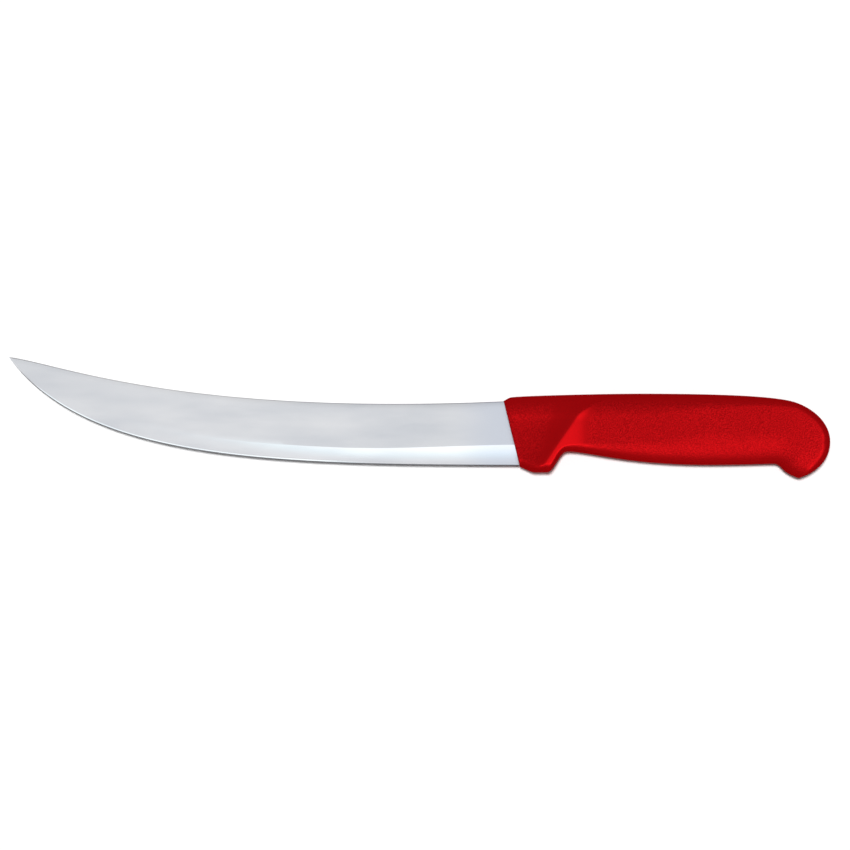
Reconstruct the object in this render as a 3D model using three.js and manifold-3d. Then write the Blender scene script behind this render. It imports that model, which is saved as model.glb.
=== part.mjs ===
// Breaking knife: an upswept steel blade with a hollow-ground edge, its hidden tang locked in a hard
// moulded core, and a textured grip moulded over the core.
// Millimetres, lying on its side: X runs from the tip to the pommel, Y from the cutting edge to the
// spine and Z up through the thickness. Levels are measured from the grip's middle line, and places
// along X from the handle's front corner.
import * as THREE from 'three';
import { mergeVertices } from 'three/addons/utils/BufferGeometryUtils.js';
import Module from 'manifold-3d';

const wasm = await Module();
wasm.setup();
const { lerp, clamp, smoothstep } = THREE.MathUtils;

// Blade outline
const bladeReach = 200.2; // handle front to tip
const tipLevel = 29.4; // tip above the middle line
const tipBlunt = 0.3; // height of the blunted tip
const spineLevel = 12; // spine above the middle line, inside the handle
const edgeLevel = 14.4; // cutting edge below the middle line, at the heel
const spineHeelPull = [-136.4, -7]; // tangent that bows the spine, leaving the handle
const spineTipPull = [21, -2.7]; // tangent of the spine at the tip
const edgeHeelPull = [-105.3, 0]; // tangent that keeps the edge straight at the heel
const edgeTipPull = [30.9, -42.85]; // tangent that rounds the belly up to the tip

// Blade section
const sheetThickness = 2.5;
const tipThickness = 0.7;
const taperPower = 1.35; // above 1 thins the blade faster near the handle than near the tip
const spineChamfer = 0.35;
const grindWidth = 6.3; // hollow-ground band along the edge, square to it
const grindHeelExtra = 2.2; // how much wider the band is at the handle
const grindHeelRun = 62; // length over which the band narrows from the heel
const grindPower = 2; // above 1 hollows the band
const edgeBevel = 0.5; // sharpened bevel
const edgeBevelThickness = 0.4; // blade thickness at the top of the sharpened bevel
const edgeLand = 0.06; // thickness of the edge itself
const bandFade = [0.15, 0.75]; // shares of the edge, from the tip, between which the hollow fades in
const hollowShares = [1, 0.75, 0.45]; // where across the band the hollow is followed
const bandLimit = 0.45; // most of the blade's height that the band takes, near the tip
const bevelLimit = 0.25; // most of the band that the sharpened bevel takes
const chamferLimit = 0.12; // most of the blade's height that the spine's chamfer takes
const bladeSteps = 44;

// Tang
const bladeSeat = 7.5; // depth of the blade's full height inside the handle
const tangWidth = 10;
const tangEndWidth = 8.5;
const tangOverlap = 3; // stretch of the tang plate that is one with the blade
const tangFillet = 3; // round where the tang leaves the blade's heel
const tangHole = 5.6; // locking hole, diameter
const tangHoleCount = 2;
const tangHoleInset = 28; // last hole to the tang's end
const tangHoleSpacing = 32;

// Handle outline
const handleLength = 132.2;
const frontLean = 6.55; // how far the front face leans back from top to bottom
const mouthLipTop = 0.25; // grip material above the spine at the front face
const mouthLipBottom = 0.5; // grip material below the edge at the front face
const frontChamfer = [3.2, 1]; // run and rise of the chamfer at the top of the front face
const backPull = [2.5, 0.5]; // tangent of the back where it leaves that chamfer
const crownPlace = 55.2; // highest point of the back
const crownLevel = 14.7;
const crownRunIn = 17.1; // how flat the back is before the crown
const crownRunOut = 30; // how flat the back is behind the crown
const turnSetback = 14.4; // where the back turns down into the round end, from the handle's end
const turnLevel = 11.33; // and above the middle line
const turnSlope = 0.314; // fall of the back for its run, at that turn
const turnRunIn = 8.25; // how straight the back is before the turn
const turnRunOut = 7.2; // and behind it
const pommelRise = 7.75; // upper pull of the round end
const pommelFall = 10.1; // lower pull of the round end
const pommelLevel = 4.65; // round end's furthest point, below the middle line
const guardDrop = 2.8; // guard below the cutting edge
const guardSetback = 5.1; // front face's foot to the guard's land
const guardLand = 5.55; // flat under the guard
const guardRound = 1.3;
const guardBackPull = 3.7; // round at the back of the guard
const waistRun = 8.7; // guard's land to the waist
const waistLevel = 8.74; // waist below the middle line
const waistRound = 3.7;
const waistRunOut = 8.7;
const bellyLevel = 14.16;
const bellySetback = 25.7; // belly to the hollow in front of the pommel
const bellyRunIn = 34.2;
const hollowLevel = 13.69;
const hollowSetback = 10.3; // hollow to the pommel's toe
const hollowRound = 3.65;
const toeSetback = 12.7; // toe to the handle's end
const toeLevel = 19.48;
const toeFrontPull = [-7.55, 2.28];
const toeRearPull = [3, 0.75];

// Handle section
const waistThickness = 16;
const palmThickness = 19;
const pommelThickness = 20.4;
const endFall = 1; // how much each side falls away towards the handle's end
const endRun = 16; // length over which it does
const backRim = 9; // how far in from the outline the sides round off, along the back
const turnRim = 2.4; // and where the back turns down
const endRim = 3.6; // and round the end
const guardRim = 3.8; // and under the guard
const guardRearRim = 1.6; // and behind it
const waistRim = 2.8;
const bellyRim = 14;
const rimPower = 2.2; // 2 rounds a rim as an ellipse, more makes it squarer
const rimJoin = 4; // how closely two rims keep to themselves where they meet
const facetSlope = 0.25; // facet that climbs forward from the grip to the ridge behind the guard
const facetRun = 7.2; // waist to the foot of that facet
const facetBend = 0.12; // how fast the facet's foot bends back towards the top
const facetBendLevel = 3.5; // where that bend starts, above the middle line
const facetSoftness = 1.5; // rounding of the facet's foot
const ridgeSetback = 1; // ridge in front of the waist, on the middle line
const ridgeSlant = 0.69; // run of the ridge for its rise
const ridgeBend = 0.15; // how fast the ridge bends back towards the top
const ridgeBendLevel = 5.5; // where that bend starts, above the middle line
const ridgeSoftness = 0.4; // rounding of the ridge's crest
const panelFall = 3.4; // drop from the ridge to the panel in front of it
const panelTopFall = 2.4; // and at the level of the spine
const panelRun = 6; // how far the drop spreads forward
const sectionSteps = 18; // from the back to the belly, on each side
const pathSteps = 40; // points on each curve of the outline

// Core and the way that the shots lock together
const mouldGap = 0.3; // between the pieces, at every moulded face
const skin = 3.8; // grip over the core's sides
const rimSkin = 4.6; // grip over the core's edges, where the rims round off
const skinEnd = 15.2; // grip behind the core
const coreFrontWall = 3; // grip between the blade's heel and the core
const coreEndWall = 12; // core behind the tang
const coreEdgeRound = 1.4;
const coreCorner = 5;
const coreSteps = 18;
const keyRadius = 2; // scallops in the core's edges that the grip fills
const keyCount = 3;
const keyInset = 26; // first and last scallop from the core's ends
const rearKeyRadius = 2.8; // hole behind the tang that the grip fills
const roundSteps = 20;

const steel = new THREE.MeshStandardMaterial({ color: 0xd8dadd, roughness: 0.28, metalness: 1 });
const corePlastic = new THREE.MeshStandardMaterial({ color: 0x7c1216, roughness: 0.6, metalness: 0 });
const gripPlastic = new THREE.MeshStandardMaterial({ color: 0xb01018, roughness: 0.5, metalness: 0 });

// Places and levels that follow from the sizes above
const frontTop = new THREE.Vector2(0, spineLevel + mouthLipTop);
const frontFoot = new THREE.Vector2(frontLean, -edgeLevel - mouthLipBottom);
const guardLevel = edgeLevel + guardDrop;
const guardPlace = frontLean + guardSetback;
const guardEnd = guardPlace + guardLand;
const waistPlace = guardEnd + waistRun;
const facetFoot = waistPlace + facetRun;
const turnPlace = handleLength - turnSetback;
const toePlace = handleLength - toeSetback;
const hollowPlace = toePlace - hollowSetback;
const bellyPlace = hollowPlace - bellySetback;
const coreStart = bladeSeat + frontLean + coreFrontWall;
const coreEnd = handleLength - skinEnd;
const coreHalf = waistThickness / 2 - skin;
const tangEnd = coreEnd - coreEndWall;

// A closed geometry as a solid, with the vertices at one place merged.
function solidOf(geometry) {
  geometry.deleteAttribute('normal');
  geometry.deleteAttribute('uv');
  const merged = mergeVertices(geometry, 1e-4);
  return new wasm.Manifold(new wasm.Mesh({
    numProp: 3,
    vertProperties: merged.attributes.position.array,
    triVerts: new Uint32Array(merged.index.array),
  }));
}

// A solid as one named mesh.
function meshOf(name, solid, material) {
  const { vertProperties, triVerts } = solid.getMesh();
  const geometry = new THREE.BufferGeometry();
  geometry.setAttribute('position', new THREE.BufferAttribute(vertProperties, 3));
  geometry.setIndex(new THREE.BufferAttribute(triVerts, 1));
  const mesh = new THREE.Mesh(geometry, material);
  mesh.name = name;
  return mesh;
}

// A skin over rings of equal length, taken from the pommel's end towards the tip. Each end is closed by
// a fan about the end ring's middle, or about a pole in front of the first ring.
function loft(rings, pole) {
  const count = rings[0].length;
  const middle = (ring) => ring.reduce((sum, p) => sum.add(p), new THREE.Vector3()).divideScalar(count);
  const points = [...rings.flat(), pole ?? middle(rings[0]), middle(rings.at(-1))];
  const firstMiddle = points.length - 2;
  const lastRing = count * (rings.length - 1);
  const faces = [];
  for (let i = 0; i < count; i++) {
    const next = (i + 1) % count;
    for (let r = 0; r < lastRing; r += count) {
      faces.push(r + i, r + count + i, r + next, r + next, r + count + i, r + count + next);
    }
    faces.push(firstMiddle, i, next, firstMiddle + 1, lastRing + next, lastRing + i);
  }
  return new THREE.BufferGeometry().setFromPoints(points).setIndex(faces);
}

// A flat shape as a plate of the given thickness, centred on the blade's plane.
function plate(shape, thickness, round = 0) {
  const geometry = new THREE.ExtrudeGeometry(shape, {
    depth: thickness - 2 * round,
    curveSegments: roundSteps / 4,
    bevelEnabled: round > 0,
    bevelThickness: round,
    bevelSize: round,
    bevelOffset: -round,
    bevelSegments: 2,
  });
  return solidOf(geometry.translate(0, 0, round - thickness / 2));
}

// A round bar right through the core, standing on the blade's plane.
function crossBar(x, y, radius) {
  const bar = new THREE.CylinderGeometry(radius, radius, 4 * coreHalf, roundSteps);
  return solidOf(bar.rotateX(Math.PI / 2).translate(x, y, 0));
}

// Curves of the blade, both from the heel inside the handle to the tip.
function bladeCurve(heel, heelPull, tip, tipPull) {
  return new THREE.CubicBezierCurve(
    heel,
    heel.clone().add(new THREE.Vector2(...heelPull)),
    tip.clone().add(new THREE.Vector2(...tipPull)),
    tip,
  );
}
const spineHeel = new THREE.Vector2(bladeSeat, spineLevel);
const edgeHeel = new THREE.Vector2(bladeSeat + frontLean, -edgeLevel);
const spineTip = new THREE.Vector2(-bladeReach, tipLevel + tipBlunt / 2);
const edgeTip = new THREE.Vector2(-bladeReach, tipLevel - tipBlunt / 2);
const spineCurve = bladeCurve(spineHeel, spineHeelPull, spineTip, spineTipPull);
const edgeCurve = bladeCurve(edgeHeel, edgeHeelPull, edgeTip, edgeTipPull);

// One cross-section of the blade: flat sides, the hollow band, the sharpened bevel and the edge.
// Each side is a list of [height above the edge, half thickness, growth direction].
function bladeRing(share, grow) {
  const spine = spineCurve.getPoint(share);
  const edge = edgeCurve.getPoint(share);
  const height = spine.distanceTo(edge);
  const up = spine.clone().sub(edge).normalize();
  const fromTip = (edge.x + bladeReach) / (edgeHeel.x + bladeReach);
  const half = lerp(tipThickness, sheetThickness, fromTip ** taperPower) / 2;
  const heelShare = smoothstep(edge.x, -grindHeelRun, edgeHeel.x);
  const square = Math.abs(edgeCurve.getTangent(share).cross(up));
  const band = Math.min((grindWidth + grindHeelExtra * heelShare) / square, height * bandLimit);
  const bevel = Math.min(edgeBevel, band * bevelLimit);
  const hollowed = smoothstep(fromTip, ...bandFade);
  const bevelHalf = lerp(half, Math.min(edgeBevelThickness / 2, half), hollowed);
  const chamfer = Math.min(spineChamfer, half / 2, height * chamferLimit);
  const hollow = (q) => [lerp(bevel, band, q), lerp(bevelHalf, half, q ** grindPower), 0];
  const side = [
    [height, half - chamfer, 1], [height - chamfer, half, 1], ...hollowShares.map(hollow),
    [bevel, bevelHalf, 0], [0, edgeLand / 2, -1],
  ];
  const back = share === 0 ? grow : 0;
  const place = ([above, z, way], sign) => {
    const at = edge.clone().addScaledVector(up, above + way * grow);
    return new THREE.Vector3(at.x + back, at.y, sign * (z + grow));
  };
  return [...side.map((p) => place(p, 1)), ...side.toReversed().map((p) => place(p, -1))];
}

// The tang plate: it leaves the heel with rounded corners, narrows to a round end and has locking holes.
function tangShape(grow) {
  const middleAt = (x) => (levelAt(topLine, x) + levelAt(bottomLine, x)) / 2;
  const heelAt = (y) => bladeSeat + frontLean * (spineLevel - y) / (spineLevel + edgeLevel) + grow;
  const root = middleAt(waistPlace);
  const end = middleAt(tangEnd);
  const half = tangWidth / 2 + grow;
  const endHalf = tangEndWidth / 2 + grow;
  const start = bladeSeat - tangOverlap;
  const shape = new THREE.Shape();
  shape.moveTo(start, root + half);
  shape.lineTo(heelAt(root + half + tangFillet), root + half + tangFillet);
  shape.quadraticCurveTo(heelAt(root + half), root + half, heelAt(root + half) + tangFillet, root + half);
  shape.lineTo(tangEnd - endHalf + grow, end + endHalf);
  shape.absarc(tangEnd - endHalf + grow, end, endHalf, Math.PI / 2, -Math.PI / 2, true);
  shape.lineTo(heelAt(root - half) + tangFillet, root - half);
  shape.quadraticCurveTo(
    heelAt(root - half), root - half, heelAt(root - half - tangFillet), root - half - tangFillet,
  );
  shape.lineTo(start, root - half);
  shape.closePath();
  for (let i = 0; i < tangHoleCount; i++) {
    const x = tangEnd - tangHoleInset - i * tangHoleSpacing;
    const y = lerp(root, end, (x - waistPlace) / (tangEnd - waistPlace));
    const hole = new THREE.Path();
    hole.absarc(x, y, tangHole / 2 - grow, 0, Math.PI * 2);
    shape.holes.push(hole);
  }
  return shape;
}

// Blade and tang are one stamped piece. Grown by the moulding gap, they are the pocket for it.
function bladeSolid(grow) {
  const rings = [];
  for (let i = 0; i <= bladeSteps; i++) rings.push(bladeRing(i / bladeSteps, grow));
  return solidOf(loft(rings)).add(plate(tangShape(grow), sheetThickness + 2 * grow));
}

// The handle's outline seen from the side: the back from the front face to the round end, the guard from
// the front face to the back of its land, the underside from there over the waist and belly to the toe,
// and the end from the toe up to the back.
const pommelEnd = new THREE.Vector2(handleLength, -pommelLevel);
function backPath() {
  const path = new THREE.Path();
  const [run, rise] = frontChamfer;
  path.moveTo(frontTop.x, frontTop.y);
  path.lineTo(run, frontTop.y + rise);
  path.bezierCurveTo(
    run + backPull[0], frontTop.y + rise + backPull[1], crownPlace - crownRunIn, crownLevel,
    crownPlace, crownLevel,
  );
  path.bezierCurveTo(
    crownPlace + crownRunOut, crownLevel, turnPlace - turnRunIn, turnLevel + turnSlope * turnRunIn,
    turnPlace, turnLevel,
  );
  path.bezierCurveTo(
    turnPlace + turnRunOut, turnLevel - turnSlope * turnRunOut, handleLength, pommelRise - pommelLevel,
    pommelEnd.x, pommelEnd.y,
  );
  return path.getPoints(pathSteps);
}
function guardPath() {
  const path = new THREE.Path();
  const chamferSlope = (guardLevel + frontFoot.y) / guardSetback;
  path.moveTo(frontFoot.x, frontFoot.y);
  path.lineTo(guardPlace - guardRound, guardRound * chamferSlope - guardLevel);
  path.quadraticCurveTo(guardPlace, -guardLevel, guardPlace + guardRound, -guardLevel);
  path.lineTo(guardEnd, -guardLevel);
  return path.getPoints(pathSteps);
}
function undersidePath() {
  const path = new THREE.Path();
  path.moveTo(guardEnd, -guardLevel);
  path.bezierCurveTo(
    guardEnd + guardBackPull, -guardLevel, waistPlace - waistRound, -waistLevel, waistPlace, -waistLevel,
  );
  path.bezierCurveTo(
    waistPlace + waistRunOut, -waistLevel, bellyPlace - bellyRunIn, -bellyLevel, bellyPlace, -bellyLevel,
  );
  path.quadraticCurveTo((bellyPlace + hollowPlace) / 2, -bellyLevel, hollowPlace, -hollowLevel);
  path.bezierCurveTo(
    hollowPlace + hollowRound, -hollowLevel, toePlace + toeFrontPull[0], toeFrontPull[1] - toeLevel,
    toePlace, -toeLevel,
  );
  return path.getPoints(pathSteps);
}
function endPath() {
  const path = new THREE.Path();
  path.moveTo(toePlace, -toeLevel);
  path.bezierCurveTo(
    toePlace + toeRearPull[0], toeRearPull[1] - toeLevel, handleLength, -pommelLevel - pommelFall,
    pommelEnd.x, pommelEnd.y,
  );
  return path.getPoints(pathSteps);
}
const topLine = backPath();
const guardLine = guardPath();
const underLine = undersidePath();
const endLine = endPath();
const bottomLine = [...guardLine, ...underLine, ...endLine];

// Level of an outline at a place along X.
function levelAt(line, x) {
  const next = clamp(line.findIndex((p) => p.x >= x), 1, line.length - 1);
  const [a, b] = [line[next - 1], line[next]];
  return b.x === a.x ? b.y : lerp(a.y, b.y, (x - a.x) / (b.x - a.x));
}

// Distance from a point to the nearest stretch of an outline.
function depthFrom(line, x, y) {
  let nearest = Infinity;
  for (let i = 1; i < line.length; i++) {
    const [a, b] = [line[i - 1], line[i]];
    const [dx, dy] = [b.x - a.x, b.y - a.y];
    const along = clamp(((x - a.x) * dx + (y - a.y) * dy) / (dx * dx + dy * dy || 1), 0, 1);
    nearest = Math.min(nearest, Math.hypot(x - a.x - along * dx, y - a.y - along * dy));
  }
  return nearest;
}

// Share of the full thickness that is left at a point near the rims: none at the outline, all of it
// where the roundings of the back, the guard, the underside and the end have run out.
function rimShare(x, y) {
  const between = (from, to) => clamp((x - from) / (to - from), 0, 1);
  const turn = lerp(backRim, turnRim, between(crownPlace, turnPlace));
  const back = lerp(turn, endRim, between(turnPlace, handleLength));
  const waist = lerp(guardRearRim, waistRim, between(guardEnd, waistPlace));
  const under = lerp(waist, bellyRim, between(waistPlace, bellyPlace));
  const shares = [
    depthFrom(topLine, x, y) / back, depthFrom(guardLine, x, y) / guardRim,
    depthFrom(underLine, x, y) / under, depthFrom(endLine, x, y) / endRim,
  ];
  const joined = Math.hypot(...shares.map((share) => share ** (-rimJoin / 2))) ** (-2 / rimJoin);
  return (1 - (1 - Math.min(joined, 1)) ** rimPower) ** (1 / rimPower);
}

// Half thickness of the handle's side before its rims round off: a waist, a palm swell, a wider pommel
// that falls away to its end, and in front of them a facet that climbs to the ridge behind the guard and
// a panel that falls from it.
function sideHalf(x, y) {
  const palm = lerp(waistThickness, palmThickness, smoothstep(x, waistPlace, bellyPlace));
  const pommel = lerp(palm, pommelThickness, smoothstep(x, bellyPlace, toePlace)) / 2;
  const grip = pommel - endFall * (Math.max(x - handleLength + endRun, 0) / endRun) ** 2;
  const soft = (value, softness) => softness * Math.log1p(Math.exp(value / softness));
  const bend = (amount, level) => amount * Math.max(y - level, 0) ** 2;
  const foot = facetFoot + bend(facetBend, facetBendLevel);
  const climb = (at) => facetSlope * soft(foot - at, facetSoftness);
  const ridge = waistPlace - ridgeSetback + ridgeSlant * y + bend(ridgeBend, ridgeBendLevel);
  const fall = lerp(panelFall, panelTopFall, smoothstep(y, 0, spineLevel));
  const past = x - ridge;
  const panel = climb(ridge) - fall * (1 - Math.exp(Math.min(past, 0) / panelRun)) + Math.max(past, 0);
  return grip + climb(x) - soft(climb(x) - panel, ridgeSoftness);
}

// One cross-section of the handle, between a point of the back and a point of the underside.
function gripRing(top, bottom) {
  const side = [];
  for (let i = 0; i <= sectionSteps; i++) {
    const at = top.clone().lerp(bottom, (1 - Math.cos(Math.PI * i / sectionSteps)) / 2);
    const half = i % sectionSteps === 0 ? 0 : sideHalf(at.x, at.y) * rimShare(at.x, at.y);
    side.push(new THREE.Vector3(at.x, at.y, half));
  }
  const under = side.slice(1, -1).toReversed().map((p) => new THREE.Vector3(p.x, p.y, -p.z));
  return [...side, ...under];
}

// The handle's outside. Sections lean with the front face and stand upright from the waist on.
function gripOutside() {
  const stretches = [
    [frontLean, guardPlace, 4], [guardPlace, guardEnd, 4], [guardEnd, waistPlace, 8],
    [waistPlace, facetFoot, 6], [facetFoot, bellyPlace, 9], [bellyPlace, hollowPlace, 4],
    [hollowPlace, toePlace, 7],
  ];
  const places = stretches.flatMap(([from, to, steps]) => (
    Array.from({ length: steps }, (_, i) => lerp(from, to, i / steps))
  ));
  const endSteps = 9;
  for (let i = 0; i < endSteps; i++) {
    places.push(toePlace + toeSetback * Math.sin(Math.PI / 2 * i / endSteps));
  }
  const rings = places.map((x) => {
    const lean = frontLean * clamp((waistPlace - x) / (waistPlace - frontLean), 0, 1) ** 2;
    const top = new THREE.Vector2(x - lean, levelAt(topLine, x - lean));
    return gripRing(top, new THREE.Vector2(x, levelAt(bottomLine, x)));
  });
  return solidOf(loft(rings.toReversed(), new THREE.Vector3(pommelEnd.x, pommelEnd.y, 0)));
}

// The core follows the handle's outline inside the skin, but stays out of the guard and the toe. Its
// scallops and rear hole lock the grip to it. Grown by the moulding gap, it is the cavity for itself.
function coreSolid(grow) {
  const topAt = (x) => levelAt(topLine, x) - rimSkin + grow;
  const bottomAt = (x) => Math.max(levelAt(bottomLine, x), -bellyLevel) + rimSkin - grow;
  const [from, to] = [coreStart - grow, coreEnd + grow];
  const placeOf = (i) => lerp(from, to - coreCorner, i / (coreSteps - 1));
  const places = Array.from({ length: coreSteps }, (_, i) => placeOf(i));
  const shape = new THREE.Shape(places.map((x) => new THREE.Vector2(x, topAt(x))));
  shape.quadraticCurveTo(to, topAt(to - coreCorner), to, topAt(to) - coreCorner);
  shape.lineTo(to, bottomAt(to) + coreCorner);
  shape.quadraticCurveTo(to, bottomAt(to - coreCorner), to - coreCorner, bottomAt(to - coreCorner));
  for (const x of places.toReversed().slice(1)) shape.lineTo(x, bottomAt(x));
  let core = plate(shape, 2 * (coreHalf + grow), coreEdgeRound);
  for (let i = 0; i < keyCount; i++) {
    const x = lerp(coreStart + keyInset, coreEnd - keyInset, i / (keyCount - 1));
    core = core.subtract(crossBar(x, topAt(x) - grow, keyRadius - grow));
    core = core.subtract(crossBar(x, bottomAt(x) + grow, keyRadius - grow));
  }
  const rearMiddle = (topAt(tangEnd) + bottomAt(tangEnd)) / 2;
  return core.subtract(crossBar((tangEnd + coreEnd) / 2, rearMiddle, rearKeyRadius - grow));
}

const pocket = bladeSolid(mouldGap);
const blade = meshOf('blade', bladeSolid(0), steel);
const core = meshOf('handle_core', coreSolid(0).subtract(pocket), corePlastic);
const grip = meshOf(
  'handle_grip', gripOutside().subtract(coreSolid(mouldGap)).subtract(pocket), gripPlastic,
);

// The knife lies on the side of its handle, with the origin under the middle of its box.
const knife = new THREE.Group();
knife.add(blade, core, grip);
const box = new THREE.Box3().setFromObject(knife);
const middle = box.getCenter(new THREE.Vector3());
knife.position.set(-middle.x, -middle.y, -box.min.z);

const part = new THREE.Group();
part.add(knife);
export default part;
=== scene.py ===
"""Finishes the breaking knife: its ground steel blade, the hard handle core and the pebbled red grip."""
import math
import bpy
import numpy as np
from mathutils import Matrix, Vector


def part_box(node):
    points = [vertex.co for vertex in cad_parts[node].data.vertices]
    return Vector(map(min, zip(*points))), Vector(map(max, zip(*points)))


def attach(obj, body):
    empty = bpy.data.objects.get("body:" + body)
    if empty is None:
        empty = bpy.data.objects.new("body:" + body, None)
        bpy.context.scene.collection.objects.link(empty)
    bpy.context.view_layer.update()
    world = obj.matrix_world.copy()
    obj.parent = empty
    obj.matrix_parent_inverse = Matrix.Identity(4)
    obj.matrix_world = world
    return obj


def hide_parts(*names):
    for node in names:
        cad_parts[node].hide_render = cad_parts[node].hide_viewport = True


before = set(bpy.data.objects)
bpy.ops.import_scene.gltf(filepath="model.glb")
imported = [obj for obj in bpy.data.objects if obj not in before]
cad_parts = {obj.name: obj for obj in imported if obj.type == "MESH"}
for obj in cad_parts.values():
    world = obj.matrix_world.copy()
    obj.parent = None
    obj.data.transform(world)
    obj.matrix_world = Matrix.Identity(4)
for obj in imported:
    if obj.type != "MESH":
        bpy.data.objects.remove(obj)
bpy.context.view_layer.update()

# Blade and tang: one piece stamped from stainless sheet, thinned from heel to tip, hollow-ground along the
# edge and sharpened with a small bevel. The tang behind the heel is hidden in the handle.
# Shapes are worked out in millimetres: x from the handle's front corner, y from the grip's middle line
# and z from the middle of the sheet.
MM = 0.001
blade_low, blade_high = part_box("blade")
grip_low, grip_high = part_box("handle_grip")
toe_level = 19.48  # how far the toe of the pommel reaches below the grip's middle line
knife_origin = np.array([grip_low.x, grip_low.y + toe_level * MM, (blade_low.z + blade_high.z) / 2])
blade_reach = (grip_low.x - blade_low.x) / MM
sheet_half = (blade_high.z - blade_low.z) / MM / 2
tip_half = 0.35
taper_power = 1.35  # above 1, the sheet thins faster at the heel than at the tip
tip_level = 29.4
tip_blunt = 0.15
spine_level = 12
edge_level = 14.4
front_lean = 6.55  # how far the handle's front face leans back towards the edge
blade_seat = 7.5  # how far the blade's heel sits behind that face
spine_heel_pull = (-136.4, -7)  # a pull is where a curve's control point stands from the curve's end
spine_tip_pull = (21, -2.7)
edge_heel_pull = (-105.3, 0)
edge_tip_pull = (30.9, -42.85)
spine_round = 0.35
spine_round_limit = 1 / 8
spine_fall = 0.1
spine_fall_run = 2.6
spine_fall_limit = 1 / 3
grind_width = 6.3
grind_heel_extra = 2.2
grind_heel_run = 62
grind_power = 2
band_limit = 0.45
band_fade = (0.15, 0.75)  # shares of the way from the tip where the hollow starts and is full
bevel_width = 0.82
bevel_half = 0.2
bevel_fall = 0.09
bevel_limit = 1 / 11  # widest share of the blade's height, which narrows the bevel to the tip
honed_width = 0.31
honed_limit = 0.6
edge_land_half = 0.03
crease_share = 0.08  # a row of points this close to the honed strip keeps its crease crisp
# Shares of a painted dark reflection in the steel's colour: full on the honed strip, part along the spine.
painted_dark_honed = 1
painted_dark_spine = 0.4
tang_half = sheet_half - 0.05
tang_end = (blade_high.x - grip_low.x) / MM
tang_root = np.array([15, 2.76])
tang_root_half_width = 5
tang_end_half_width = 4.25
tang_tail = np.array([tang_end - tang_end_half_width, -0.12])
tang_fillet = 3
tang_lean_run = 12
tang_hole = 5.6
tang_holes_from_end = (28, 60)
pin_half_length = 3
blade_sections = 240
round_columns = 7
flat_columns = 16
flat_crowding = 1.4
hollow_columns = 20
honed_columns = 3
spine_columns = 6
fillet_rows = 9
taper_rows = 40
tang_round_rows = 14
pin_sides = 48
blade_crease_degrees = 8


def to_frame(points):
    """Knife millimetres to frame metres: scaled, then moved to the knife's origin."""
    return np.asarray(points) * MM + knife_origin


def bezier(controls, t):
    """Cubic curve: the four control points weighted by their Bernstein shares at each t."""
    a, b, c, d = np.asarray(controls, float)
    t = np.asarray(t, float)[:, None]
    return (1 - t) ** 3 * a + 3 * (1 - t) ** 2 * t * b + 3 * (1 - t) * t ** 2 * c + t ** 3 * d


def blend(a, b, share):
    """Straight mix: a where share is 0, b where it is 1."""
    return a + (b - a) * share


def ease(value, start, end):
    """Smooth step: 0 at start, 1 at end, level at both."""
    s = np.clip((value - start) / (end - start), 0, 1)
    return s * s * (3 - 2 * s)


def skin(name, rings, first_pole, last_pole, sharp_degrees):
    """Closed mesh over a (rows, columns, 3) grid whose columns close on themselves, with a fan of
    triangles from each end row to a pole. Faces are turned round if the enclosed volume is negative."""
    rows, columns = rings.shape[:2]
    points = np.vstack([rings.reshape(-1, 3), first_pole, last_pole])
    start = np.arange(rows * columns).reshape(rows, columns)
    after = np.roll(start, -1, axis=1)
    quads = np.stack([start[:-1], after[:-1], after[1:], start[1:]], -1).reshape(-1, 4)
    near = np.stack([np.full(columns, rows * columns), after[0], start[0]], -1)
    far = np.stack([np.full(columns, rows * columns + 1), start[-1], after[-1]], -1)
    triangles = np.vstack([quads[:, :3], quads[:, [0, 2, 3]], near, far])
    a, b, c = (points[triangles[:, i]] - points.mean(0) for i in range(3))
    if np.einsum("ij,ij->", a, np.cross(b, c)) < 0:
        quads, near, far = quads[:, ::-1], near[:, ::-1], far[:, ::-1]
    mesh = bpy.data.meshes.new(name)
    mesh.from_pydata(points.tolist(), [], quads.tolist() + near.tolist() + far.tolist())
    mesh.shade_smooth()
    mesh.set_sharp_from_angle(angle=math.radians(sharp_degrees))
    piece = bpy.data.objects.new(name, mesh)
    bpy.context.scene.collection.objects.link(piece)
    return piece


def blade_rows(t):
    """Spine and edge points, half thickness, ground-band width, half thickness under the band, and widths
    of bevel and honed strip, at each share t from heel to tip. The widths are measured square to the edge,
    so their share of the slanting section is wider. The band's hollow fades out towards the tip."""
    spine_heel = np.array([blade_seat, spine_level])
    edge_heel = np.array([blade_seat + front_lean, -edge_level])
    spine_tip = np.array([-blade_reach, tip_level + tip_blunt])
    edge_tip = np.array([-blade_reach, tip_level - tip_blunt])
    spine = bezier([spine_heel, spine_heel + spine_heel_pull, spine_tip + spine_tip_pull, spine_tip], t)
    edge = bezier([edge_heel, edge_heel + edge_heel_pull, edge_tip + edge_tip_pull, edge_tip], t)
    from_tip = (edge[:, 0] + blade_reach) / (edge_heel[0] + blade_reach)
    half = blend(tip_half, sheet_half, from_tip ** taper_power)
    heel_share = ease(edge[:, 0], -grind_heel_run, edge_heel[0])
    height = np.linalg.norm(spine - edge, axis=1)
    up = (spine - edge) / height[:, None]
    run = np.gradient(edge, axis=0)
    run /= np.linalg.norm(run, axis=1)[:, None]
    square = np.abs(run[:, 0] * up[:, 1] - run[:, 1] * up[:, 0])
    band = np.minimum((grind_width + grind_heel_extra * heel_share) / square, height * band_limit)
    thin = blend(half, np.minimum(bevel_half, half), ease(from_tip, *band_fade))
    bevel = np.minimum(bevel_width / square, height * bevel_limit)
    honed = np.minimum(honed_width / square, bevel * honed_limit)
    return spine, edge, half, band, thin, bevel, honed


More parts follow.
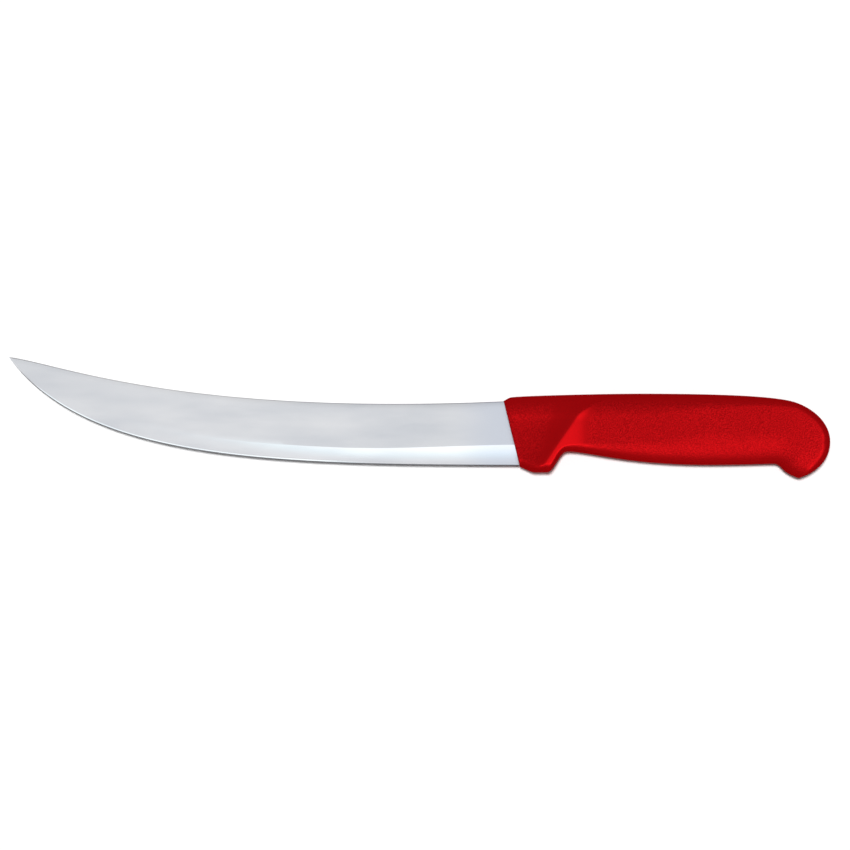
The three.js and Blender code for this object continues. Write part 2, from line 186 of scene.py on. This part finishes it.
def blade_rings(spine, edge, half, band, thin, bevel, honed):
    """Section rings, down one side and up the other. From the spine: a quarter round, a flat that falls
    away a hair towards the spine, the hollow band as a power of its width, the bevel, the steeper honed
    strip and the edge."""
    half, band, thin, bevel, honed = (row[:, None] for row in (half, band, thin, bevel, honed))
    height = np.linalg.norm(edge - spine, axis=1)[:, None]
    honed_half = np.maximum(thin - bevel_fall, np.minimum(bevel_half, thin))
    corner = np.minimum(spine_round, height * spine_round_limit)
    turn = np.linspace(0, np.pi / 2, round_columns)
    flat = np.linspace(0, 1, flat_columns)[1:-1] ** flat_crowding
    hollow = np.linspace(1, 0, hollow_columns)
    above = np.hstack([
        height - corner * (1 - np.cos(turn)), blend(height - corner, band, flat),
        blend(bevel, band, hollow), blend(honed, bevel, crease_share), honed, honed / 2, 0 * bevel,
    ])
    side = np.hstack([
        half - corner * (1 - np.sin(turn)), half + 0 * flat, blend(thin, half, hollow ** grind_power),
        blend(honed_half, thin, crease_share), honed_half, (honed_half + edge_land_half) / 2,
        0 * bevel + edge_land_half,
    ])
    fall_run = np.minimum(spine_fall_run, height * spine_fall_limit)
    near_spine = np.clip(1 - (height - above) / fall_run, 0, 1)
    side -= spine_fall * half / sheet_half * near_spine ** 2
    along = (above / height)[:, :, None]
    flat_points = edge[:, None] + (spine - edge)[:, None] * along
    one = np.concatenate([flat_points, side[:, :, None]], -1)
    other = (one * [1, 1, -1])[:, ::-1]
    return np.concatenate([one, other], 1)


def heel_at(y):
    """Place of the blade's leaning heel at each level."""
    return blade_seat + front_lean * (spine_level - y) / (spine_level + edge_level)


def tang_rings(up):
    """Rings from the heel to the tang's end, with points at each share up from the lower edge: a quarter
    round out of the heel, a straight taper whose lean fades, and a half round at the end."""
    start = heel_at(tang_root[1])
    fillet = tang_fillet * (1 - np.cos(np.linspace(0, np.pi / 2, fillet_rows)))
    straight = np.linspace(tang_fillet, tang_tail[0] - start, taper_rows)[1:]
    turn = np.linspace(0, np.pi / 2, tang_round_rows)[1:-1]
    round_end = tang_tail[0] - start + tang_end_half_width * np.sin(turn)
    run = np.concatenate([fillet, straight, round_end])[:, None]
    taper = np.clip((run + start - tang_root[0]) / (tang_tail[0] - tang_root[0]), 0, 1)
    middle = blend(tang_root[1], tang_tail[1], taper)
    width = blend(tang_root_half_width, tang_end_half_width, taper)
    width = width + tang_fillet - np.sqrt(tang_fillet ** 2 - np.maximum(tang_fillet - run, 0) ** 2)
    past_tail = np.maximum(run + start - tang_tail[0], 0)
    width = width * np.sqrt(1 - (past_tail / tang_end_half_width) ** 2)
    y = middle + width * (2 * up - 1)
    x = run + blend(heel_at(y), start, ease(run, tang_fillet, tang_lean_run))
    one = np.stack([x, y, np.full(y.shape, tang_half)], -1)
    other = (one * [1, 1, -1])[:, ::-1]
    return np.concatenate([one, other], 1)


def tang_pins():
    """Two round bars through the tang, as one mesh, to punch its locking holes with."""
    turn = np.linspace(0, 2 * np.pi, pin_sides, endpoint=False)
    places = tang_end - np.array(tang_holes_from_end)
    levels = np.interp(places, [tang_root[0], tang_tail[0]], [tang_root[1], tang_tail[1]])
    circle = np.stack([np.cos(turn), np.sin(turn), 0 * turn], -1) * tang_hole / 2
    heights = (-pin_half_length, pin_half_length)
    ends = [[x, y, z] + circle for x, y in zip(places, levels) for z in heights]
    mesh = bpy.data.meshes.new("tang_pins")
    here = np.arange(pin_sides)
    after = np.roll(here, -1)
    faces = []
    for low in (0, 2 * pin_sides):
        sides = np.stack([here, after, after + pin_sides, here + pin_sides], -1) + low
        faces += sides.tolist() + [(here[::-1] + low).tolist(), (here + low + pin_sides).tolist()]
    mesh.from_pydata(to_frame(np.vstack(ends)).tolist(), [], faces)
    pins = bpy.data.objects.new("tang_pins", mesh)
    bpy.context.scene.collection.objects.link(pins)
    return pins


def punched(piece, pins, sharp_degrees):
    """Cuts the pins out of the piece's mesh for good and removes them."""
    cut = piece.modifiers.new("holes", "BOOLEAN")
    cut.operation = "DIFFERENCE"
    cut.solver = "EXACT"
    cut.object = pins
    view = bpy.context.evaluated_depsgraph_get()
    mesh = bpy.data.meshes.new_from_object(piece.evaluated_get(view))
    mesh.name = piece.name
    piece.modifiers.remove(cut)
    piece.data = mesh
    mesh.set_sharp_from_angle(angle=math.radians(sharp_degrees))
    bpy.data.objects.remove(pins)


blade_grid = blade_rings(*blade_rows(np.linspace(0, 1, blade_sections)))
heel_column = blade_grid[0, : blade_grid.shape[1] // 2]
heel_up = (heel_column[:, 1] + edge_level) / (spine_level + edge_level)
# Each point's share of the painted dark reflection on the honed strip and the spine; none on the tang.
painted_dark_share = np.zeros(blade_grid.shape[:2])
painted_dark_share[:, len(heel_up) - honed_columns : len(heel_up) + honed_columns] = painted_dark_honed
painted_dark_share[:, :spine_columns] = painted_dark_spine
painted_dark_share[:, -spine_columns:] = painted_dark_spine
tang_grid = tang_rings(heel_up)[::-1]
painted_dark_share = np.concatenate([np.zeros(tang_grid.shape[:2]), painted_dark_share])
blade_grid = np.concatenate([tang_grid, blade_grid])
blade = skin(
    "blade_steel", to_frame(blade_grid),
    to_frame([tang_end, tang_tail[1], 0]), to_frame(blade_grid[-1].mean(0)), blade_crease_degrees,
)
marks = blade.data.attributes.new("painted_dark_share", "FLOAT", "POINT")
marks.data.foreach_set("value", np.append(painted_dark_share.ravel(), [0, painted_dark_honed]).astype(np.float32))
punched(blade, tang_pins(), blade_crease_degrees)


def wire(tree, kind, inputs, **settings):
    """Adds a node. Each input is a plain value, or the output that feeds it."""
    node = tree.nodes.new(kind)
    for name, value in settings.items():
        setattr(node, name, value)
    for key, value in inputs.items():
        if isinstance(value, bpy.types.NodeSocket):
            tree.links.new(value, node.inputs[key])
        else:
            node.inputs[key].default_value = value
    return node


def new_finish(name):
    """An empty material: its node tree, its shader and the piece's own coordinates."""
    material = bpy.data.materials.new(name)
    material.use_nodes = True
    tree = material.node_tree
    place = tree.nodes.new("ShaderNodeTexCoord").outputs["Object"]
    return material, tree, tree.nodes["Principled BSDF"], place


def ramp(tree, value, *stops):
    """Colour that runs through the stops, each a position and a colour, as value goes from 0 to 1."""
    node = wire(tree, "ShaderNodeValToRGB", {"Fac": value})
    for _ in stops[2:]:
        node.color_ramp.elements.new(0.5)
    for element, (position, color) in zip(node.color_ramp.elements, stops):
        element.position = position
        element.color = (*color, 1)
    return node.outputs["Color"]


def stretched(tree, place, scale):
    """Coordinates multiplied by a scale along each axis, which draws a pattern out along the small ones."""
    return wire(tree, "ShaderNodeMapping", {"Vector": place, "Scale": scale}).outputs["Vector"]


def noise(tree, place, scale, detail, roughness):
    """Cloudy value about 0.5, with so many octaves of detail."""
    inputs = {"Vector": place, "Scale": scale, "Detail": detail, "Roughness": roughness}
    return wire(tree, "ShaderNodeTexNoise", inputs).outputs["Fac"]


def between(tree, share, limits):
    """Straight run from the first limit where share is 0 to the second where it is 1."""
    inputs = {"Value": share, "To Min": limits[0], "To Max": limits[1]}
    return wire(tree, "ShaderNodeMapRange", inputs).outputs["Result"]


def mix(tree, share, first, second):
    """Colour that is first where share is 0 and second where it is 1."""
    node = wire(tree, "ShaderNodeMix", {"Factor": share}, data_type="RGBA")
    for key, color in (("A", first), ("B", second)):
        if isinstance(color, bpy.types.NodeSocket):
            tree.links.new(color, node.inputs[key])
        else:
            node.inputs[key].default_value = (*color, 1)
    return node.outputs[2]


cloud_stretch = (26, 95, 95)
steel_dark = (0.685, 0.695, 0.725)
steel_light = (0.82, 0.815, 0.825)
heel_blue = (0.675, 0.7, 0.765)
heel_blue_run = 0.024
# colour of the painted dark reflection on the honed strip and the spine
painted_dark_grey = (0.15, 0.15, 0.16)
polish_stretch = (60, 2600, 2600)
steel_rough = (0.18, 0.24)


def polished_steel():
    """Satin stainless: cloudy tone along the blade, bluer towards the heel, a painted dark reflection
    on the honed strip and the spine, and faint lengthwise polishing marks."""
    material, tree, shader, place = new_finish("polished_steel")
    clouds = noise(tree, stretched(tree, place, cloud_stretch), 1, 3, 0.45)
    tone = ramp(tree, clouds, (0.3, steel_dark), (0.7, steel_light))
    parts = wire(tree, "ShaderNodeSeparateXYZ", {"Vector": place})
    heel = {"Value": parts.outputs["X"], "From Min": grip_low.x - heel_blue_run, "From Max": grip_low.x}
    heel = wire(tree, "ShaderNodeMapRange", heel, interpolation_type="SMOOTHSTEP").outputs["Result"]
    tone = mix(tree, heel, tone, heel_blue)
    # Painted reflection: the honed strip and the spine are darkened in colour, standing for the dark they
    # reflect.
    painted_dark_share = wire(tree, "ShaderNodeAttribute", {}, attribute_name="painted_dark_share").outputs["Fac"]
    tone = mix(tree, painted_dark_share, tone, painted_dark_grey)
    marks = noise(tree, stretched(tree, place, polish_stretch), 1, 2, 0.5)
    tree.links.new(tone, shader.inputs["Base Color"])
    tree.links.new(between(tree, marks, steel_rough), shader.inputs["Roughness"])
    shader.inputs["Metallic"].default_value = 1
    return material


blade.data.materials.append(polished_steel())
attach(blade, "root")
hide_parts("blade")

# Handle core: the hard first shot of the handle, moulded round the tang so that its plastic fills the
# tang's holes. The grip hides it, so its CAD solid stays and gets a plain moulded finish.
flow_stretch = (60, 240, 240)
core_dark = (0.17, 0.008, 0.01)
core_light = (0.22, 0.011, 0.013)
core_rough = (0.5, 0.62)


def moulded_plastic():
    """Hard moulded plastic: a faint flow pattern in tone and roughness."""
    material, tree, shader, place = new_finish("moulded_core")
    flow = noise(tree, stretched(tree, place, flow_stretch), 1, 3, 0.5)
    tone = ramp(tree, flow, (0.35, core_dark), (0.65, core_light))
    tree.links.new(tone, shader.inputs["Base Color"])
    tree.links.new(between(tree, flow, core_rough), shader.inputs["Roughness"])
    return material


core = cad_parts["handle_core"]
core.data.materials.clear()
core.data.materials.append(moulded_plastic())

# Grip: the red outer shot of the handle, a tough soft-touch plastic moulded over the core. Its sides are
# pebbled, apart from the smooth ridge behind the guard and the rounded rims.
# The outline runs through the points named first, and each pull is where a control point stands from one.
handle_length = (grip_high.x - grip_low.x) / MM
front_top = np.array([0, 11.75])
front_foot = np.array([front_lean, -14.9])
shoulder = np.array([3.2, 13.25])
crown = np.array([55.2, 14.7])
back_turn = np.array([handle_length - 14.4, 11.33])
turn_slope = 0.314
pommel_end = np.array([handle_length, -4.65])
guard_place = np.array([front_lean + 5.1, -17.2])
guard_round = 1.3
guard_end = guard_place + [5.55, 0]
waist = np.array([guard_end[0] + 8.7, -8.74])
toe = np.array([handle_length - 12.7, -toe_level])
hollow = np.array([toe[0] - 10.3, -13.69])
belly = np.array([hollow[0] - 25.7, -14.16])
front_top_pull = (1.5, 0.85)
shoulder_front_pull = (-1.2, -0.12)
shoulder_rear_pull = (2.5, 0.5)
crown_front_pull = (-17.1, 0)
crown_rear_pull = (30, 0)
turn_front_pull = -8.25
turn_rear_pull = 7.2
end_upper_pull = (0, 7.75)
end_lower_pull = (0, -10.1)
guard_corner_pull = 2 / 3
guard_rear_pull = (3.7, 0)
waist_front_pull = (-3.7, 0)
waist_rear_pull = (8.7, 0)
belly_front_pull = (-34.2, 0)
belly_rear_pull = (8, 0)
hollow_front_pull = (-8, -0.2)
hollow_rear_pull = (3.65, 0)
toe_front_pull = (-7.55, 2.28)
toe_rear_pull = (3, 0.75)
outline_steps = 60
waist_half = 8
palm_half = 9.5
pommel_half = 10.2
end_fall = 1
end_run = 16
back_rim = 9
turn_rim = 2.4
end_rim = 3.6
guard_rim = 3.8
guard_rear_rim = 1.6
waist_rim = 2.8
belly_rim = 14
rim_power = 2.2
rim_join = 4
facet_foot = waist[0] + 7.2
facet_bend = 0.12
facet_bend_level = 3.5
facet_slope = 0.25
facet_soft = 1.5
ridge_setback = 1
ridge_slant = 0.69
ridge_bend = 0.15
ridge_bend_level = 5.5
ridge_soft = 0.4
panel_fall = 3.4
panel_top_fall = 2.4
panel_run = 6
grain_edge = 17.4
grain_slant = 0.28
grain_front_soft = 2
grain_rear_soft = (-1, 3)
grain_rim_soft = (1.6, 4.5)


def handle_outline():
    """The back from the front face to the round end, the guard from the front face to the back of its land,
    the underside from there over waist and belly to the toe, and the end from the toe up to the back, as
    chains of straight lines and cubic curves."""
    t = np.linspace(0, 1, outline_steps)
    straight = lambda a, b: blend(np.asarray(a, float), np.asarray(b, float), t[[0, -1], None])
    turn_way = np.array([1, -turn_slope])
    back = [
        bezier([front_top, front_top + front_top_pull, shoulder + shoulder_front_pull, shoulder], t),
        bezier([shoulder, shoulder + shoulder_rear_pull, crown + crown_front_pull, crown], t),
        bezier([crown, crown + crown_rear_pull, back_turn + turn_front_pull * turn_way, back_turn], t),
        bezier([
            back_turn, back_turn + turn_rear_pull * turn_way, pommel_end + end_upper_pull, pommel_end,
        ], t),
    ]
    guard_front = blend(guard_place, front_foot, guard_round / (guard_place[0] - front_foot[0]))
    guard_from = guard_place + [guard_round, 0]
    corner_pulls = [blend(point, guard_place, guard_corner_pull) for point in (guard_front, guard_from)]
    guard = [
        straight(front_foot, guard_front),
        bezier([guard_front, *corner_pulls, guard_from], t),
        straight(guard_from, guard_end),
    ]
    under = [
        bezier([guard_end, guard_end + guard_rear_pull, waist + waist_front_pull, waist], t),
        bezier([waist, waist + waist_rear_pull, belly + belly_front_pull, belly], t),
        bezier([belly, belly + belly_rear_pull, hollow + hollow_front_pull, hollow], t),
        bezier([hollow, hollow + hollow_rear_pull, toe + toe_front_pull, toe], t),
    ]
    end = bezier([toe, toe + toe_rear_pull, pommel_end + end_lower_pull, pommel_end], t)
    return np.vstack(back), np.vstack(guard), np.vstack(under), end


rim_lines = handle_outline()
back_line = rim_lines[0]
lower_line = np.vstack(rim_lines[1:])


def level_at(line, x):
    """Level of an outline at each x."""
    return np.interp(x, line[:, 0], line[:, 1])


def depth_from(line, x, y):
    """Distance from each point to the nearest stretch of an outline."""
    nearest = np.full(np.shape(x), np.inf)
    for (ax, ay), (bx, by) in zip(line[:-1], line[1:]):
        dx, dy = bx - ax, by - ay
        length = dx * dx + dy * dy
        if length > 0:
            along = np.clip(((x - ax) * dx + (y - ay) * dy) / length, 0, 1)
            nearest = np.minimum(nearest, np.hypot(x - ax - along * dx, y - ay - along * dy))
    return nearest


def ridge_at(y):
    """Where the ridge behind the guard runs, at each level: a slant, then bending back to the top."""
    bend = ridge_bend * np.maximum(y - ridge_bend_level, 0) ** 2
    return waist[0] - ridge_setback + ridge_slant * y + bend


def facet_foot_at(y):
    """Where the facet behind the ridge runs out into the grip: upright, then bending back to the top."""
    return facet_foot + facet_bend * np.maximum(y - facet_bend_level, 0) ** 2


def side_half(x, y):
    """Half thickness before the rims round off. The grip swells from waist to palm and pommel, and falls
    away to its end by the square of the distance. In front, a facet climbs from its foot to the ridge, and
    a hollow panel falls from the ridge to the front face: the lower of the two counts, with a soft crest
    where they meet."""
    grip = blend(waist_half, palm_half, ease(x, waist[0], belly[0]))
    grip = blend(grip, pommel_half, ease(x, belly[0], toe[0]))
    grip = grip - end_fall * (np.maximum(x - handle_length + end_run, 0) / end_run) ** 2
    climb = lambda at: facet_slope * facet_soft * np.logaddexp(0, (facet_foot_at(y) - at) / facet_soft)
    past = x - ridge_at(y)
    fall = blend(panel_fall, panel_top_fall, ease(y, 0, spine_level))
    panel = climb(ridge_at(y)) - fall * (1 - np.exp(np.minimum(past, 0) / panel_run)) + np.maximum(past, 0)
    return grip - ridge_soft * np.logaddexp(-climb(x) / ridge_soft, -panel / ridge_soft)


def rim_share(x, depths):
    """Rim rounding: a superellipse from 0 at the outline to 1 at the rim's depth. The back, the guard, the
    underside and the round end have their own depths. Their shares add like resistances in parallel,
    raised to a power, which rounds the meeting of two rims."""
    upper = np.interp(x, [crown[0], back_turn[0], handle_length], [back_rim, turn_rim, end_rim])
    under = np.interp(x, [guard_end[0], waist[0], belly[0]], [guard_rear_rim, waist_rim, belly_rim])
    shares = [depth / reach for depth, reach in zip(depths, (upper, guard_rim, under, end_rim))]
    joined = sum(np.maximum(share, 1e-6) ** -rim_join for share in shares) ** (-1 / rim_join)
    return (1 - (1 - np.clip(joined, 0, 1)) ** rim_power) ** (1 / rim_power)


grip_columns = 96
rim_crowding = 0.6
even = np.linspace(0, 1, grip_columns)
down = blend(even, (1 - np.cos(np.pi * even)) / 2, rim_crowding)


def grip_outside(places):
    """Half rings of the outside at each place along the underside, and each point's depth inside the
    outline. Sections lean with the front face, and points lie closer together at the rims."""
    lean = front_lean * np.clip((waist[0] - places) / (waist[0] - front_lean), 0, 1) ** 2
    top = np.stack([places - lean, level_at(back_line, places - lean)], -1)[:, None]
    foot = np.stack([places, level_at(lower_line, places)], -1)[:, None]
    flat_points = blend(top, foot, down[:, None])
    x, y = flat_points[..., 0], flat_points[..., 1]
    depths = [depth_from(line, x, y) for line in rim_lines]
    side = side_half(x, y) * rim_share(x, depths)
    side[:, [0, -1]] = 0
    return np.concatenate([flat_points, side[..., None]], -1), np.min(depths, axis=0)


def both_sides(one):
    """Closes half rings with their mirror image on the other side of the sheet's plane."""
    return np.concatenate([one, (one * [1, 1, -1])[:, -2:0:-1]], 1)


def grain_mask(x, y, depth):
    """Where the sides are pebbled: the front panel and the grip, but not the ridge or the rims."""
    front = 1 - ease(x - grain_edge - grain_slant * y, -grain_front_soft, grain_front_soft)
    rear = ease(x - facet_foot_at(y), *grain_rear_soft)
    return np.maximum(front, rear) * ease(depth, *grain_rim_soft)


grain_height = 0.028
grain_wave = (1.0, 1.35)
grain_waves = 40
grain_seed = 7


def pebbles(x, y):
    """Pebble pattern between -1 and 1: plane waves of about a millimetre in seeded directions, summed and
    levelled off."""
    draw = np.random.default_rng(grain_seed)
    angle = draw.uniform(0, 2 * np.pi, grain_waves)
    number = 2 * np.pi / draw.uniform(*grain_wave, grain_waves)
    phase = draw.uniform(0, 2 * np.pi, grain_waves)
    total = np.zeros(np.shape(x))
    for turn, k, start in zip(angle, number, phase):
        total += np.cos(k * (np.cos(turn) * x + np.sin(turn) * y) + start)
    return np.tanh(total / math.sqrt(grain_waves / 2))


slot_gap = 0.02
mouth_share = 0.02  # share of the blade's length at which it leaves the handle
mould_gap = 0.3
passage_half = 5.3
rim_skin = 4.6
core_low, core_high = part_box("handle_core")
core_start = (core_low.x - grip_low.x) / MM
core_end = (core_high.x - grip_low.x) / MM
core_half = (core_high.z - core_low.z) / MM / 2
core_corner = 5
key_radius = 2
key_inset = 26
key_count = 3
cavity_rows = 80
corner_rows = 10
front_round = 0.5
front_rows = 6
grip_rows = 350
end_rows = 60
grip_crease_degrees = 35


def half_ring(x, top, bottom, half):
    """Half rings of a hollow in the grip: straight down from top to bottom at the given half width, and
    closed on the sheet's plane at both ends."""
    y = blend(np.asarray(top, float)[..., None], np.asarray(bottom, float)[..., None], down)
    z = np.broadcast_to(half, y.shape) * ((even > 0) & (even < 1))
    return np.stack([np.broadcast_to(x(y), y.shape), y, z], -1)


def blade_pocket():
    """The slot in the front face and the back of the pocket behind it, both a hair wider than the blade's
    own section, then the passage for the tang through the front wall."""
    section = blade_rings(*blade_rows(mouth_share * np.arange(3)))[1]
    section = section[: len(section) // 2]
    mouth = (section[0, 1] + slot_gap, section[-1, 1] - slot_gap)
    heel = (spine_level + slot_gap, -edge_level - slot_gap)
    width = np.interp(blend(*mouth, down), section[::-1, 1], section[::-1, 2]) + slot_gap
    front = lambda y: front_lean * (front_top[1] - y) / (front_top[1] - front_foot[1])
    back = lambda y: heel_at(y) + slot_gap
    passage = (tang_root[1] + passage_half, tang_root[1] - passage_half)
    return np.stack([
        half_ring(front, *mouth, width),
        half_ring(back, *heel, width),
        half_ring(back, *passage, tang_half + mould_gap),
        half_ring(lambda y: core_start - mould_gap, *passage, tang_half + mould_gap),
    ])


def core_cavity():
    """Rings of the hollow that the core fills: it follows the outline inside the rims, with a round rib
    across for each scallop in the core's edges, and rounded corners at the end."""
    corner = core_corner * np.sin(np.linspace(0, np.pi / 2, corner_rows))[1:]
    straight = np.linspace(core_start - mould_gap, core_end - core_corner, cavity_rows)
    places = np.concatenate([straight, core_end - core_corner + corner])
    keys = np.linspace(core_start + key_inset, core_end - key_inset, key_count)
    rib = np.sqrt(np.maximum(key_radius ** 2 - (places[:, None] - keys) ** 2, 0)).sum(1)
    past = np.maximum(places - core_end + core_corner, 0)
    drop = core_corner - np.sqrt(core_corner ** 2 - past ** 2) + rib
    top = level_at(back_line, places) - rim_skin + mould_gap - drop
    bottom = np.maximum(level_at(lower_line, places), belly[1]) + rim_skin - mould_gap + drop
    return half_ring(lambda y: places[:, None], top, bottom, core_half + mould_gap)


front_turn = np.linspace(0, np.pi / 2, front_rows)
front_places = front_lean + front_round * (1 - np.cos(front_turn))
long_places = np.linspace(front_places[-1], toe[0], grip_rows)
end_places = toe[0] + (handle_length - toe[0]) * np.sin(np.linspace(0, np.pi / 2, end_rows))[1:-1]
grip_places = np.concatenate([front_places[:-1], long_places, end_places])
outside, depths = grip_outside(grip_places)
mask = grain_mask(outside[..., 0], outside[..., 1], depths)
outside[..., 2] += grain_height * mask * pebbles(outside[..., 0], outside[..., 1])
front_cut = front_round * (1 - np.sin(front_turn))[:, None]
front_cut = front_cut * np.clip(outside[:front_rows, :, 2] / (2 * front_round), 0, 1)
outside[:front_rows, :, 2] -= front_cut
inside = np.concatenate([blade_pocket(), core_cavity()])[::-1]
rings = both_sides(np.concatenate([inside, outside]))
mask = np.concatenate([np.zeros(inside.shape[:2]), mask])
mask = np.concatenate([mask, mask[:, -2:0:-1]], 1)
cavity_end = np.array([*rings[0, :, :2].mean(0), 0])
grip = skin(
    "grip_red", to_frame(rings), to_frame(cavity_end), to_frame([*pommel_end, 0]), grip_crease_degrees,
)
grain = grip.data.attributes.new("grain", "FLOAT", "POINT")
grain.data.foreach_set("value", np.append(mask.ravel(), [0, 0]).astype(np.float32))

fine_grain = 2200
fine_grain_strength = 0.42
fine_grain_depth = 0.0003
red_dark = (0.232, 0.002, 0.003)
red_light = (0.367, 0.0035, 0.005)
red_smooth = (0.3, 0.0025, 0.0037)
grip_rough = (0.42, 0.56)


def pebbled_red():
    """Red plastic with a red sheen: a fine speckle in tone and height where the piece's grain attribute says
    so, and smoother and even elsewhere."""
    material, tree, shader, place = new_finish("pebbled_red")
    mask = wire(tree, "ShaderNodeAttribute", {}, attribute_name="grain").outputs["Fac"]
    fine = noise(tree, place, fine_grain, 0, 0.5)
    height = wire(tree, "ShaderNodeMath", {0: fine, 1: mask}, operation="MULTIPLY").outputs["Value"]
    bump = {"Height": height, "Strength": fine_grain_strength, "Distance": fine_grain_depth}
    bump = wire(tree, "ShaderNodeBump", bump)
    speckle = ramp(tree, fine, (0.3, red_dark), (0.7, red_light))
    tone = mix(tree, mask, red_smooth, speckle)
    tree.links.new(tone, shader.inputs["Base Color"])
    tree.links.new(between(tree, mask, grip_rough), shader.inputs["Roughness"])
    tree.links.new(bump.outputs["Normal"], shader.inputs["Normal"])
    shader.inputs["Metallic"].default_value = 0.18
    shader.inputs["Specular IOR Level"].default_value = 0
    shader.inputs["Specular Tint"].default_value = (1, 0.05, 0.06, 1)
    return material


grip.data.materials.append(pebbled_red())
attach(grip, "root")
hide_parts("handle_grip")

# Studio: a sheet of white paper under the knife, a high lamp for the crisp shadow along the lower edges, two
# soft lamps for the handle's sheen and a faint one for its lower rims, and a camera straight above, as in
# the photograph.
photo_side = 850
mm_per_pixel = 0.405
origin_pixel = (503.67, 430)
camera_lens = 300
sensor = 36
paper_half = 3

paper_corners = paper_half * np.array([(-1, -1, 0), (1, -1, 0), (1, 1, 0), (-1, 1, 0)])
sheet_mesh = bpy.data.meshes.new("white_sheet")
sheet_mesh.from_pydata(paper_corners.tolist(), [], [(0, 1, 2, 3)])
sheet = bpy.data.objects.new("white_sheet", sheet_mesh)
bpy.context.scene.collection.objects.link(sheet)


def white_paper():
    """White paper that keeps the shadow and throws a little less light back at the handle."""
    material = bpy.data.materials.new("white_paper")
    material.use_nodes = True
    tree = material.node_tree
    shader = tree.nodes["Principled BSDF"]
    rays = tree.nodes.new("ShaderNodeLightPath").outputs
    tone = mix(tree, rays["Is Diffuse Ray"], (0.98, 0.98, 0.98), (0.9, 0.9, 0.9))
    tree.links.new(tone, shader.inputs["Base Color"])
    shader.inputs["Roughness"].default_value = 1
    shader.inputs["Specular IOR Level"].default_value = 0
    return material


sheet_mesh.materials.append(white_paper())


def lamp(name, energy, direction, spread):
    """A far lamp that shines along direction, seen as a disc that spreads over so many degrees."""
    data = bpy.data.lights.new(name, "SUN")
    data.energy = energy
    data.angle = math.radians(spread)
    holder = bpy.data.objects.new(name, data)
    bpy.context.scene.collection.objects.link(holder)
    holder.rotation_euler = Vector(direction).to_track_quat("-Z", "Y").to_euler()
    return holder


high_lamp = lamp("high_lamp", energy=2.95, direction=(0.036, -0.077, -1), spread=5)
high_lamp.visible_glossy = False
grip_only = bpy.data.collections.new("grip_only")
grip_only.objects.link(grip)
belly_lamp = lamp("belly_lamp", energy=5.5, direction=(0, 0.66, -0.75), spread=30)
belly_lamp.visible_diffuse = False
end_lamp = lamp("end_lamp", energy=6.9, direction=(-0.66, 0.2, -0.75), spread=30)
end_lamp.visible_diffuse = False
rim_lamp = lamp("rim_lamp", energy=0.4, direction=(0, 0.9, -0.45), spread=30)
rim_lamp.visible_glossy = False
for soft_lamp in (belly_lamp, end_lamp, rim_lamp):
    soft_lamp.light_linking.receiver_collection = grip_only

bank_tones = (
    (0.12, (1.5, 1.5, 1.5)), (0.24, (1.46, 1.48, 1.48)),
    (0.3, (1.38, 1.43, 1.44)), (0.335, (1.24, 1.34, 1.36)), (0.375, (1.1, 1.24, 1.28)),
    (0.41, (1.02, 1.1, 1.14)), (0.445, (0.95, 0.965, 0.985)), (0.51, (0.935, 0.95, 0.97)),
    (0.6, (0.57, 0.57, 0.57)), (0.7, (0.3, 0.3, 0.3)),
)
low_room = (0.65, 0.65, 0.65)
low_room_top = (0.55, 0.75)
room_fill = (0.15, 0.15, 0.15)


def studio_world():
    """Surroundings: white to the lens; for the steel to show, a bright bank on the edge side and a dim one on
    the spine side, over an even low room; and a low even fill for everything else."""
    world = bpy.data.worlds.new("studio")
    world.use_nodes = True
    tree = world.node_tree
    rays = tree.nodes.new("ShaderNodeLightPath").outputs
    direction = tree.nodes.new("ShaderNodeTexCoord").outputs["Generated"]
    parts = wire(tree, "ShaderNodeSeparateXYZ", {"Vector": direction})
    across = wire(tree, "ShaderNodeMapRange", {"Value": parts.outputs["Y"], "From Min": -1, "From Max": 1})
    room = ramp(tree, across.outputs["Result"], *bank_tones)
    height = {"Value": parts.outputs["Z"], "From Min": low_room_top[0], "From Max": low_room_top[1]}
    height = wire(tree, "ShaderNodeMapRange", height).outputs["Result"]
    room = mix(tree, height, low_room, room)
    fill = mix(tree, rays["Is Glossy Ray"], room_fill, room)
    seen = {0: rays["Is Camera Ray"], 1: rays["Is Transmission Ray"]}
    seen = wire(tree, "ShaderNodeMath", seen, operation="MAXIMUM").outputs["Value"]
    tree.links.new(mix(tree, seen, fill, (1, 1, 1)), tree.nodes["Background"].inputs["Color"])
    bpy.context.scene.world = world


studio_world()

camera_data = bpy.data.cameras.new("camera")
camera_data.lens = camera_lens
camera_data.sensor_width = sensor
camera_data.sensor_fit = "HORIZONTAL"
camera = bpy.data.objects.new("camera", camera_data)
bpy.context.scene.collection.objects.link(camera)
middle = photo_side / 2
look_at = to_frame([(middle - origin_pixel[0]) * mm_per_pixel, (origin_pixel[1] - middle) * mm_per_pixel, 0])
distance = photo_side * mm_per_pixel * MM * camera_lens / sensor
camera.location = look_at + [0, 0, distance]
bpy.context.scene.camera = camera
bpy.context.scene.view_settings.view_transform = "Standard"
